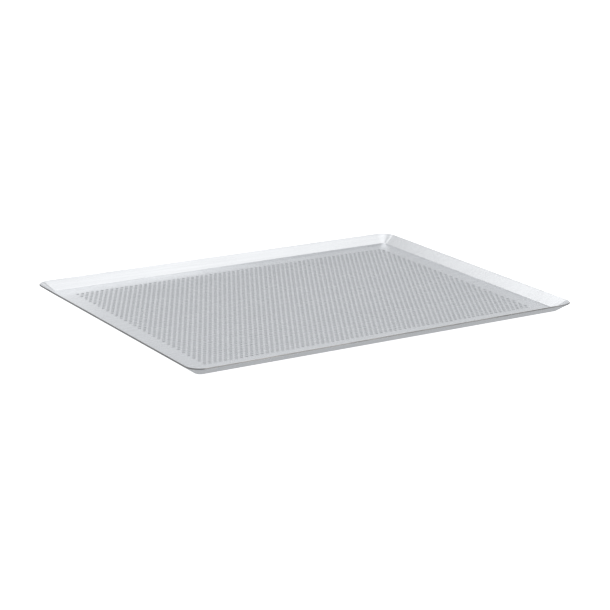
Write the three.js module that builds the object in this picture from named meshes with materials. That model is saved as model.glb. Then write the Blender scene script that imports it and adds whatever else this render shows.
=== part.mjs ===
// A flat perforated baking tray for bread and rolls: one sheet of aluminium, pressed in one stroke.
// Its floor is level, and a low rim flares outward on all four sides, through rounded corners.
// Millimetres, +Z up. The origin is under the centre of the floor, on the surface the tray stands on.
// The pattern of small round holes in the floor is left out: the floor here is a plain sheet.

import * as THREE from 'three';

// Driving dimensions.
const LENGTH = 400; // along X, over the rim's outer edge
const WIDTH = 300; // along Y, over the rim's outer edge
const HEIGHT = 9.3; // from the floor's underside to the rim's highest line
const SHEET = 1.5; // thickness of the sheet
const FLARE = THREE.MathUtils.degToRad(35); // the rim's slope above the level
const FOLD_RADIUS = 2; // inside radius where the floor turns up into the rim
const FLOOR_CORNER = 4; // plan radius of the floor's corners, where the fold starts
const RIM_CORNER = 13.5; // plan radius of the rim's outer edge

const FOLD_STEPS = 4; // facets round the fold
const CORNER_STEPS = 8; // facets round each corner, in plan

// The rim's section. `out` is the distance outward from where the fold starts.
const foldTop = SHEET + FOLD_RADIUS; // height of the fold's centre
const wallRise = HEIGHT - SHEET - FOLD_RADIUS * (1 - Math.cos(FLARE));
const wallRun = wallRise / Math.tan(FLARE);
const rimRun = (FOLD_RADIUS + SHEET) * Math.sin(FLARE) + wallRun;

// A point on the fold, on the face with that radius.
function foldPoint(radius, angle) {
  return { out: radius * Math.sin(angle), z: foldTop - radius * Math.cos(angle) };
}

// The section's outline: up the inner face from the floor, over the square-cut edge,
// and back down the outer face to the underside.
function rimSection() {
  const inner = [];
  const outer = [];
  for (let i = 0; i <= FOLD_STEPS; i++) {
    const angle = (FLARE * i) / FOLD_STEPS;
    inner.push(foldPoint(FOLD_RADIUS, angle));
    outer.push(foldPoint(FOLD_RADIUS + SHEET, angle));
  }
  for (const face of [inner, outer]) {
    const last = face.at(-1);
    face.push({ out: last.out + wallRun, z: last.z + wallRise });
  }
  return [...inner, ...outer.reverse()];
}

// The closed plan outline at a distance outward from the fold's start. The corner radius grows from
// the floor's to the rim's, so the corners flare like the sides.
function planOutline(out) {
  const radius = THREE.MathUtils.lerp(FLOOR_CORNER, RIM_CORNER, out / rimRun);
  const centreX = LENGTH / 2 - rimRun + out - radius;
  const centreY = WIDTH / 2 - rimRun + out - radius;
  const corners = [[1, 1], [-1, 1], [-1, -1], [1, -1]];
  return corners.flatMap(([sideX, sideY], quarter) => {
    const points = [];
    for (let i = 0; i <= CORNER_STEPS; i++) {
      const angle = ((quarter + i / CORNER_STEPS) * Math.PI) / 2;
      const x = sideX * centreX + radius * Math.cos(angle);
      const y = sideY * centreY + radius * Math.sin(angle);
      points.push(new THREE.Vector2(x, y));
    }
    return points;
  });
}

// The closed sheet: one ring of points for each point of the section, joined in order, then the
// floor's two faces. Each ring runs anticlockwise seen from above.
function pressedSheet() {
  const section = rimSection();
  const rings = section.map(({ out }) => planOutline(out));
  const count = rings[0].length;
  const positions = rings.flatMap((ring, r) => ring.flatMap(({ x, y }) => [x, y, section[r].z]));
  const faces = [];
  for (let r = 0; r + 1 < rings.length; r++) {
    for (let i = 0; i < count; i++) {
      const near = r * count + i;
      const next = r * count + ((i + 1) % count);
      faces.push(near, near + count, next);
      faces.push(next, near + count, next + count);
    }
  }
  const underside = (rings.length - 1) * count;
  for (const [a, b, c] of THREE.ShapeUtils.triangulateShape(rings[0], [])) {
    faces.push(a, b, c);
    faces.push(underside + a, underside + c, underside + b);
  }
  const geometry = new THREE.BufferGeometry();
  geometry.setAttribute('position', new THREE.Float32BufferAttribute(positions, 3));
  geometry.setIndex(faces);
  geometry.computeVertexNormals();
  return geometry;
}

const aluminium = new THREE.MeshStandardMaterial({ color: 0xc9cbcd, roughness: 0.38, metalness: 1 });

const traySheet = new THREE.Mesh(pressedSheet(), aluminium);
traySheet.name = 'tray_sheet';

const tray = new THREE.Group();
tray.add(traySheet);

export default tray;
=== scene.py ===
import math

import bpy
from mathutils import Matrix, Vector
from mathutils.geometry import delaunay_2d_cdt

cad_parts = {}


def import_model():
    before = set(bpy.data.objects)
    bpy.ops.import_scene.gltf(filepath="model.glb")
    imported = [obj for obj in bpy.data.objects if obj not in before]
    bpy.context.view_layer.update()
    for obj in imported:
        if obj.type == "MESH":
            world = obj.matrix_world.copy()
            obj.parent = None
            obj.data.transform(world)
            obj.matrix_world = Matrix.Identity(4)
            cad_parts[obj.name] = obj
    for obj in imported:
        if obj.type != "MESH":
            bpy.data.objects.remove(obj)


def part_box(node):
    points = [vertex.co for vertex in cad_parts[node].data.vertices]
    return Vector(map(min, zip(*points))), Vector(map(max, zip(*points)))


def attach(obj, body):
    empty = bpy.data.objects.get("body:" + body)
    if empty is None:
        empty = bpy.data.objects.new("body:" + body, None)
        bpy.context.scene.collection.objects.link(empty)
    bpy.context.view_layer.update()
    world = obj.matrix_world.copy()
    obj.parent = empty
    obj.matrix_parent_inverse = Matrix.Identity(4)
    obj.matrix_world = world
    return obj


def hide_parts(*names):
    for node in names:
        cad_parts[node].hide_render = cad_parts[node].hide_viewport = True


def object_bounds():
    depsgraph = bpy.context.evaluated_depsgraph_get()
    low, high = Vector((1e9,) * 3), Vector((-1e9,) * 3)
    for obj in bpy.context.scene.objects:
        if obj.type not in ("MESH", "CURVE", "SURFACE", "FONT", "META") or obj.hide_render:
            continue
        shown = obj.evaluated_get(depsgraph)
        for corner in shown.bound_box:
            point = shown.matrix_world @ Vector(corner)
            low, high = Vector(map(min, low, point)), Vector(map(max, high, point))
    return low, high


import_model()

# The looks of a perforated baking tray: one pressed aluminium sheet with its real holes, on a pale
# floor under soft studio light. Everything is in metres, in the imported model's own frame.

MM = 0.001

# The sheet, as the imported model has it.
CAD_LOW, CAD_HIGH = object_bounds()
TRAY_LOW, TRAY_HIGH = (Vector(corner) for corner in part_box("tray_sheet"))
HALF_LENGTH = (TRAY_HIGH.x - TRAY_LOW.x) / 2
HALF_WIDTH = (TRAY_HIGH.y - TRAY_LOW.y) / 2
HEIGHT = TRAY_HIGH.z - TRAY_LOW.z
SHEET = 1.5 * MM
FLARE = math.radians(35)  # the rim's slope above the level
FOLD_RADIUS = 2 * MM  # inside radius where the floor turns up into the rim
FLOOR_CORNER = 4 * MM  # plan radius of the floor's corners
RIM_CORNER = 13.5 * MM  # plan radius of the rim's outer edge
LIP_RADIUS = 0.3 * MM  # the shear rolls the cut edge over on the upper face
BURR_RADIUS = 0.1 * MM  # and leaves it almost sharp on the lower one

# The holes: staggered rows along X, on an even triangular grid.
HOLE_RADIUS = 1.5 * MM
PITCH = 5.057 * MM
ROWS = 55
HOLES_IN_ROW = 68
FIELD_CENTRE = Vector((-0.7 * MM, -0.7 * MM))
HOLE_SIDES = 12

# Facets round the fold, round each corner of the cut edge, and round each corner in plan.
FOLD_STEPS = 6
EDGE_STEPS = 3
CORNER_STEPS = 10

# Material indices in the tray's mesh.
ROLLED = 0  # the rolled faces of the sheet
SHEARED = 1  # the rim's cut edge
PUNCHED = 2  # the holes' walls

SHARP_ANGLE = math.radians(35)  # a steeper angle between two faces is an edge, not a curve
DELAUNAY_EPSILON = 1e-8

# The rim's section, from where the fold starts, outward and up.
FOLD_TOP = SHEET + FOLD_RADIUS
WALL_RISE = HEIGHT - SHEET - FOLD_RADIUS * (1 - math.cos(FLARE))
WALL_RUN = WALL_RISE / math.tan(FLARE)
RIM_RUN = FOLD_TOP * math.sin(FLARE) + WALL_RUN


def arc(centre, radius, start, end, steps):
    """Points of an arc, angles from +X towards +Y."""
    turns = [start + (end - start) * i / steps for i in range(steps + 1)]
    return [centre + radius * Vector((math.cos(a), math.sin(a))) for a in turns]


def rim_section():
    """The section's points, as (outward, up), from the floor's upper face over the edge to its
    underside, and the material of the strip that follows each point."""
    down = -math.pi / 2
    fold = Vector((0, FOLD_TOP))
    inner_fold = arc(fold, FOLD_RADIUS, down, down + FLARE, FOLD_STEPS)
    outer_fold = arc(fold, FOLD_TOP, down, down + FLARE, FOLD_STEPS)
    along = Vector((math.cos(FLARE), math.sin(FLARE)))
    across = Vector((math.sin(FLARE), -math.cos(FLARE)))
    top = inner_fold[-1] + Vector((WALL_RUN, WALL_RISE))
    lip = top + LIP_RADIUS * (across - along)
    burr = top + SHEET * across - BURR_RADIUS * (across + along)
    inner_round = arc(lip, LIP_RADIUS, FLARE - down, FLARE, EDGE_STEPS)
    outer_round = arc(burr, BURR_RADIUS, FLARE, FLARE + down, EDGE_STEPS)
    points = inner_fold + inner_round + outer_round + outer_fold[::-1]
    cut = len(inner_fold) + EDGE_STEPS
    materials = [SHEARED if i == cut else ROLLED for i in range(len(points) - 1)]
    return points, materials


def plan_outline(outward):
    """The tray's outline in plan, anticlockwise, at a distance outward from the fold's start."""
    radius = FLOOR_CORNER + (RIM_CORNER - FLOOR_CORNER) * outward / RIM_RUN
    centre_x = HALF_LENGTH - RIM_RUN + outward - radius
    centre_y = HALF_WIDTH - RIM_RUN + outward - radius
    points = []
    for quarter, (side_x, side_y) in enumerate([(1, 1), (-1, 1), (-1, -1), (1, -1)]):
        start = quarter * math.pi / 2
        centre = Vector((side_x * centre_x, side_y * centre_y))
        points += arc(centre, radius, start, start + math.pi / 2, CORNER_STEPS)
    return points


def hole_centres():
    """The holes' centres, row by row. Every second row is shifted by half a pitch."""
    row_step = PITCH * math.sqrt(3) / 2
    centres = []
    for row in range(ROWS):
        shift = PITCH / 4 if row % 2 else -PITCH / 4
        for place in range(HOLES_IN_ROW):
            x = (place - (HOLES_IN_ROW - 1) / 2) * PITCH + shift
            y = (row - (ROWS - 1) / 2) * row_step
            centres.append(FIELD_CENTRE + Vector((x, y)))
    return centres


def hole_outline(centre):
    """A hole's points, anticlockwise, with a flat towards each of its six neighbours."""
    start = math.pi / HOLE_SIDES
    return arc(centre, HOLE_RADIUS, start, start + 2 * math.pi, HOLE_SIDES)[:-1]


def ring_edges(first, count):
    return [(first + i, first + (i + 1) % count) for i in range(count)]


def floor_triangles(outline, holes):
    """Triangles, anticlockwise, over the outline less the holes, numbering the outline's points and
    then the holes' points. A triangle with all its corners on one hole lies inside that hole."""
    points = list(outline)
    edges = ring_edges(0, len(outline))
    for hole in holes:
        edges += ring_edges(len(points), HOLE_SIDES)
        points += hole
    _, _, faces, sources, _, _ = delaunay_2d_cdt(points, edges, [], 1, DELAUNAY_EPSILON)
    triangles = []
    for face in faces:
        corners = [sources[i][0] for i in face]
        owners = {(i - len(outline)) // HOLE_SIDES if i >= len(outline) else -1 for i in corners}
        if len(owners) > 1 or owners == {-1}:
            triangles.append(corners)
    return triangles


def tray_mesh():
    """The whole sheet as one closed mesh: the rim's rings, the floor's two faces, the holes' walls."""
    section, strip_materials = rim_section()
    rings = [plan_outline(point.x) for point in section]
    count = len(rings[0])
    points = [(p.x, p.y, up) for ring, (_, up) in zip(rings, section) for p in ring]
    faces = []
    materials = []
    for r, material in enumerate(strip_materials):
        for a, b in ring_edges(r * count, count):
            faces.append((a, a + count, b + count, b))
            materials.append(material)

    holes = [hole_outline(centre) for centre in hole_centres()]
    hole_points = [p for hole in holes for p in hole]
    upper = len(points)
    lower = upper + len(hole_points)
    points += [(p.x, p.y, SHEET) for p in hole_points]
    points += [(p.x, p.y, 0) for p in hole_points]
    last_ring = (len(rings) - 1) * count
    for corners in floor_triangles(rings[0], holes):
        faces.append([i if i < count else upper + i - count for i in corners])
        faces.append([last_ring + i if i < count else lower + i - count for i in reversed(corners)])
        materials += [ROLLED, ROLLED]
    for hole in range(len(holes)):
        for a, b in ring_edges(hole * HOLE_SIDES, HOLE_SIDES):
            faces.append((upper + a, upper + b, lower + b, lower + a))
            materials.append(PUNCHED)

    mesh = bpy.data.meshes.new("tray_sheet_pressed")
    mesh.from_pydata(points, [], faces)
    mesh.polygons.foreach_set("material_index", materials)
    mesh.polygons.foreach_set("use_smooth", [True] * len(mesh.polygons))
    mesh.set_sharp_from_angle(angle=SHARP_ANGLE)
    mesh.validate()
    return mesh


# Materials. Every pattern is laid out in the tray's own coordinates.
MIDDLE = (0.3, 0.7)  # the range that fine noise mostly keeps to
NARROW_MIDDLE = (0.35, 0.65)  # the same for coarse noise

# Sizes of the patterns' features along X, Y and Z.
GRAIN = (25 * MM, 0.35 * MM, 0.35 * MM)  # the rolling grain
STREAKS = (140 * MM, 2.2 * MM, 2.2 * MM)
CLOUDS = (45 * MM, 30 * MM, 30 * MM)
RUBBED_PATCHES = (20 * MM, 20 * MM, 20 * MM)
SCRATCHED_PATCHES = (35 * MM, 12 * MM, 12 * MM)
SHEAR_MARKS = (0.5 * MM, 0.5 * MM, 6 * MM)
SHEAR_PATCHES = (18 * MM, 18 * MM, 18 * MM)
RAGGED = (0.4 * MM, 0.4 * MM, 3 * MM)
HOLE_GROUPS = (9 * MM, 4 * MM, 50 * MM)

SCRATCH_LENGTH = 60 * MM
SCRATCH_SETS = ((0.5, 7 * MM), (-1.1, 9 * MM))  # the direction of each set, and its lines' spacing
SCRATCH_WIDTH = 0.006  # as a step of the noise that places the lines

# Colours from the darker to the lighter places of each surface.
ROLLED_COLOURS = ((0.735, 0.75, 0.77), (0.805, 0.82, 0.84))
# The cut edge's dark grey: partly the duller sheared metal, partly painted shade.
SHEARED_COLOURS_WITH_PAINTED_SHADE = ((0.2, 0.2, 0.2), (0.36, 0.355, 0.35))
BURNISHED_WITH_PAINTED_GLINT = (0.93, 0.94, 0.95)  # a hole's wall near the upper face: partly the punch's burnish, partly a painted glint
TORN_WITH_PAINTED_SHADE = (0.74, 0.75, 0.765)  # and further down: partly the torn zone, partly painted shade

# How far each surface's pattern stands proud.
ROLLED_DEPTH = 0.004 * MM
SHEARED_DEPTH = 0.03 * MM
PUNCHED_DEPTH = 0.05 * MM


def new_material(name, colour, roughness, metallic):
    material = bpy.data.materials.new(name)
    material.use_nodes = True
    shader = material.node_tree.nodes["Principled BSDF"]
    shader.inputs["Base Color"].default_value = (*colour, 1)
    shader.inputs["Roughness"].default_value = roughness
    shader.inputs["Metallic"].default_value = metallic
    return material


def feed(material, socket, value):
    """Link the socket to another socket, or set it to a value."""
    if isinstance(value, bpy.types.NodeSocket):
        material.node_tree.links.new(value, socket)
    else:
        socket.default_value = value


def put(material, kind, **inputs):
    """A node of that kind in the material, with its inputs fed."""
    node = material.node_tree.nodes.new("ShaderNode" + kind)
    for name, value in inputs.items():
        feed(material, node.inputs[name.replace("_", " ")], value)
    return node


def place(material, size, turn=0.0):
    """The tray's coordinates, turned about Z and divided by the size of a pattern's features."""
    object_place = put(material, "TexCoord").outputs["Object"]
    turned = put(material, "VectorRotate", Vector=object_place, Angle=turn).outputs["Vector"]
    scaled = put(material, "VectorMath")
    scaled.operation = "MULTIPLY"
    feed(material, scaled.inputs[0], turned)
    feed(material, scaled.inputs[1], tuple(1 / length for length in size))
    return scaled.outputs["Vector"]


def level(material, unit):
    """The height above the surface the tray stands on, in that unit."""
    return put(material, "SeparateXYZ", Vector=place(material, (1, 1, unit))).outputs["Z"]


def noise(material, size, detail, turn=0.0):
    """Smooth noise around 0.5 whose features have that size along X, Y and Z."""
    where = place(material, size, turn)
    return put(material, "TexNoise", Vector=where, Scale=1.0, Detail=detail).outputs["Fac"]


def remap(material, value, old, new):
    """The value's range old stretched to new, and held there outside it."""
    ends = dict(From_Min=old[0], From_Max=old[1], To_Min=new[0], To_Max=new[1])
    return put(material, "MapRange", Value=value, **ends).outputs["Result"]


def combine(material, operation, *values):
    node = put(material, "Math")
    node.operation = operation
    for socket, value in zip(node.inputs, values):
        feed(material, socket, value)
    return node.outputs["Value"]


def blend_colours(material, amount, first, second):
    node = put(material, "Mix")
    node.data_type = "RGBA"
    colour_a, colour_b = (socket for socket in node.inputs if socket.type == "RGBA")
    feed(material, node.inputs["Factor"], amount)
    feed(material, colour_a, (*first, 1))
    feed(material, colour_b, (*second, 1))
    return next(socket for socket in node.outputs if socket.type == "RGBA")


def finish_with(material, colour, roughness, height, depth):
    """Lead the patterns to the material's shader. The height pattern stands depth metres proud."""
    shader = material.node_tree.nodes["Principled BSDF"]
    bump = put(material, "Bump", Height=height, Distance=depth)
    feed(material, shader.inputs["Base Color"], colour)
    feed(material, shader.inputs["Roughness"], roughness)
    feed(material, shader.inputs["Normal"], bump.outputs["Normal"])


def scratches(material, turn, spacing):
    """Sparse fine scratches, long along the turned X axis: 1 on a scratch, 0 off it."""
    line = noise(material, (SCRATCH_LENGTH, spacing, spacing), 0.0, turn)
    near_middle = combine(material, "ABSOLUTE", combine(material, "SUBTRACT", line, 0.5))
    thin = remap(material, near_middle, (0.0, SCRATCH_WIDTH), (1.0, 0.0))
    some = remap(material, noise(material, SCRATCHED_PATCHES, 1.0, turn), (0.55, 0.62), (0.0, 1.0))
    return combine(material, "MULTIPLY", thin, some)


def rubbed_rim(material):
    """Where the top of the rim is rubbed by the oven's runners: 1 there, in patches, and 0 elsewhere."""
    near_top = remap(material, level(material, HEIGHT), (0.86, 0.97), (0.0, 1.0))
    patches = remap(material, noise(material, RUBBED_PATCHES, 3.0), (0.42, 0.62), (0.0, 1.0))
    return combine(material, "MULTIPLY", near_top, patches)


def rolled_aluminium():
    """Mill-finished sheet: rolling grain along X, cloudy patches, a few scratches, a rubbed rim."""
    material = new_material("rolled_aluminium", (0.77, 0.785, 0.805), 0.26, 1)
    grain = noise(material, GRAIN, 3.0)
    streaks = noise(material, STREAKS, 2.0)
    clouds = noise(material, CLOUDS, 3.0)
    rubbed = rubbed_rim(material)
    scratched = combine(material, "MAXIMUM", *(scratches(material, *each) for each in SCRATCH_SETS))
    worn = combine(material, "MAXIMUM", scratched, rubbed)

    grain_tone = remap(material, grain, MIDDLE, (0.0, 0.5))
    streak_tone = remap(material, streaks, NARROW_MIDDLE, (0.0, 0.5))
    tone = combine(material, "ADD", grain_tone, streak_tone)
    tone = combine(material, "SUBTRACT", tone, combine(material, "MULTIPLY", rubbed, 0.7))
    colour = blend_colours(material, tone, *ROLLED_COLOURS)

    cloudy = remap(material, clouds, NARROW_MIDDLE, (0.235, 0.285))
    grained = combine(material, "ADD", cloudy, remap(material, grain, MIDDLE, (-0.02, 0.02)))
    roughness = combine(material, "ADD", grained, combine(material, "MULTIPLY", worn, 0.12))
    height = combine(material, "SUBTRACT", grain, combine(material, "MULTIPLY", worn, 0.8))
    finish_with(material, colour, roughness, height, ROLLED_DEPTH)
    return material


def sheared_aluminium():
    """The rim's cut edge: torn metal, with marks across the sheet, in a dark grey that is partly the
    duller torn metal and partly painted shade.
    """
    material = new_material("sheared_aluminium", (0.29, 0.29, 0.285), 0.4, 1)
    marks = noise(material, SHEAR_MARKS, 3.0)
    mark_tone = remap(material, marks, MIDDLE, (0.0, 0.6))
    patch_tone = remap(material, noise(material, SHEAR_PATCHES, 1.0), NARROW_MIDDLE, (0.0, 0.4))
    colour = blend_colours(material, combine(material, "ADD", mark_tone, patch_tone), *SHEARED_COLOURS_WITH_PAINTED_SHADE)
    roughness = remap(material, marks, MIDDLE, (0.34, 0.48))
    finish_with(material, colour, roughness, marks, SHEARED_DEPTH)
    return material


def punched_aluminium():
    """The holes' walls: lighter near the upper face, partly the punch's burnish and partly a painted
    glint, and darker below, partly the torn zone and partly painted shade. In some holes the darker part
    starts higher up."""
    material = new_material("punched_aluminium", (0.8, 0.81, 0.83), 0.4, 1)
    ragged = remap(material, noise(material, RAGGED, 2.0), MIDDLE, (-0.1, 0.1))
    by_hole = remap(material, noise(material, HOLE_GROUPS, 1.0), NARROW_MIDDLE, (-0.15, 0.15))
    edge = combine(material, "ADD", level(material, SHEET), combine(material, "ADD", ragged, by_hole))
    # Darker down the wall: partly the torn zone, partly painted shade. Lighter near the top: partly
    # burnish, partly a painted glint.
    torn_and_painted_shade = remap(material, edge, (0.4, 0.75), (1.0, 0.0))
    colour = blend_colours(material, torn_and_painted_shade, BURNISHED_WITH_PAINTED_GLINT, TORN_WITH_PAINTED_SHADE)
    roughness = remap(material, torn_and_painted_shade, (0.0, 1.0), (0.28, 0.5))
    finish_with(material, colour, roughness, ragged, PUNCHED_DEPTH)
    return material


def add(name, data):
    made = bpy.data.objects.new(name, data)
    bpy.context.scene.collection.objects.link(made)
    return made


tray = add("tray_sheet_pressed", tray_mesh())
for material in (rolled_aluminium(), sheared_aluminium(), punched_aluminium()):
    tray.data.materials.append(material)
weighted = tray.modifiers.new("flat_faces_stay_flat", "WEIGHTED_NORMAL")
weighted.keep_sharp = True
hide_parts("tray_sheet")
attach(tray, "root")


# The floor and the light.
FLOOR_REACH = 8  # from the middle to each side
FLOOR_GAP = 0.1 * MM  # below the tray, so that the two faces don't coincide
FLOOR_GLOW = 0.9


def floor():
    """A pale glowing floor. It isn't mirrored in the tray, which mirrors the studio instead."""
    mesh = bpy.data.meshes.new("studio_floor")
    corners = [(FLOOR_REACH * x, FLOOR_REACH * y, 0) for x, y in ((-1, -1), (1, -1), (1, 1), (-1, 1))]
    mesh.from_pydata(corners, [], [(0, 1, 2, 3)])
    made = add("studio_floor", mesh)
    made.location.z = CAD_LOW.z - FLOOR_GAP
    made.visible_glossy = False
    pale = new_material("pale_floor", (0.8, 0.8, 0.8), 0.9, 0)
    shader = pale.node_tree.nodes["Principled BSDF"]
    shader.inputs["Emission Color"].default_value = (1, 1, 1, 1)
    shader.inputs["Emission Strength"].default_value = FLOOR_GLOW
    mesh.materials.append(pale)


WARM_WHITE = (1, 0.985, 0.965)

# Each softbox: its centre, the point it faces, its width and height, and the brightness it adds.
SOFTBOXES = {
    "overhead": ((0.7, -0.15, 1.2), (0.7, -0.15, 0), (1.1, 1.5), 0.58),
    "rear_top": ((0.52, 0.95, 1.2), (0.52, 0.95, 0), (0.65, 0.7), 0.9),
    "back_panel": ((-0.05, 1.5, 1.6), (-0.05, 0, 1.6), (1.0, 0.96), 0.55),
    "low_strip": ((1.35, 2.4, 0.1), (1.35, 0, 0.1), (2.7, 0.5), 0.6),
    "left_panel": ((0.42, 2.4, 0.85), (0.42, 0, 0.85), (1.0, 1.0), 0.4),
    "right_panel": ((2.8, 2.1, 1.3), (0, 0, 0.2), (0.9, 1.6), 0.6),
    "front_top": ((0.68, -1.35, 1.2), (0.68, -1.35, 0), (0.85, 0.8), 2.3),
}


def softbox(name, centre, aim, size, radiance):
    light = bpy.data.lights.new(name, "AREA")
    light.shape = "RECTANGLE"
    light.size, light.size_y = size
    light.energy = radiance * math.pi * size[0] * size[1]
    light.color = WARM_WHITE
    made = add(name, light)
    made.location = centre
    made.rotation_euler = (Vector(aim) - Vector(centre)).to_track_quat("-Z", "Y").to_euler()


# How bright the studio around the tray is, by how far a direction leans along LIGHTER: upward, and a
# little to the left.
LIGHTER = Vector((-0.15, 0, 1))
STUDIO = (
    (-1.0, 0.54),
    (0.0, 0.56),
    (0.175, 0.56),
    (0.25, 0.91),
    (0.33, 0.72),
    (0.45, 0.56),
    (0.6, 0.56),
    (0.75, 0.6),
    (1.0, 0.7),
)
COOL_TINT = Vector((0.985, 1, 1.02))


def world():
    """The studio around the tray, as its brightness by direction."""
    made = bpy.data.worlds.new("studio")
    made.use_nodes = True
    nodes = made.node_tree.nodes
    links = made.node_tree.links
    direction = nodes.new("ShaderNodeTexCoord")
    lean = nodes.new("ShaderNodeVectorMath")
    lean.operation = "DOT_PRODUCT"
    lean.inputs[1].default_value = LIGHTER
    share = nodes.new("ShaderNodeMapRange")
    share.inputs["From Min"].default_value = -1
    ramp = nodes.new("ShaderNodeValToRGB")
    ramp.color_ramp.elements.remove(ramp.color_ramp.elements[0])
    stops = ramp.color_ramp.elements
    for i, (height, grey) in enumerate(STUDIO):
        at = (height + 1) / 2
        stop = stops[0] if i == 0 else stops.new(at)
        stop.position = at
        stop.color = (*(grey * COOL_TINT), 1)
    links.new(direction.outputs["Generated"], lean.inputs[0])
    links.new(lean.outputs["Value"], share.inputs["Value"])
    links.new(share.outputs["Result"], ramp.inputs["Fac"])
    links.new(ramp.outputs["Color"], nodes["Background"].inputs["Color"])
    bpy.context.scene.world = made


# The camera: degrees round from the front, above the level, and tilted; its aim, distance and lens.
AZIMUTH, ELEVATION, ROLL = (math.radians(angle) for angle in (-32.89, 16.32, 1.08))
AIM = Vector((-3.7, -10.1, 0)) * MM
DISTANCE = 1.707
LENS_MM = 110
SENSOR_MM = 36


def camera():
    flat_back = Vector((math.sin(AZIMUTH), -math.cos(AZIMUTH), 0))
    back = flat_back * math.cos(ELEVATION) + Vector((0, 0, math.sin(ELEVATION)))
    right = Vector((math.cos(AZIMUTH), math.sin(AZIMUTH), 0))
    up = back.cross(right)
    side = right * math.cos(ROLL) + up * math.sin(ROLL)
    rise = up * math.cos(ROLL) - right * math.sin(ROLL)
    data = bpy.data.cameras.new("camera")
    data.lens = LENS_MM
    data.sensor_width = SENSOR_MM
    made = add("camera", data)
    turn = Matrix((side, rise, back)).transposed().to_4x4()
    made.matrix_world = Matrix.Translation(AIM + back * DISTANCE) @ turn
    bpy.context.scene.camera = made


floor()
world()
for name, settings in SOFTBOXES.items():
    softbox(name, *settings)
camera()
bpy.context.scene.view_settings.view_transform = "Standard"
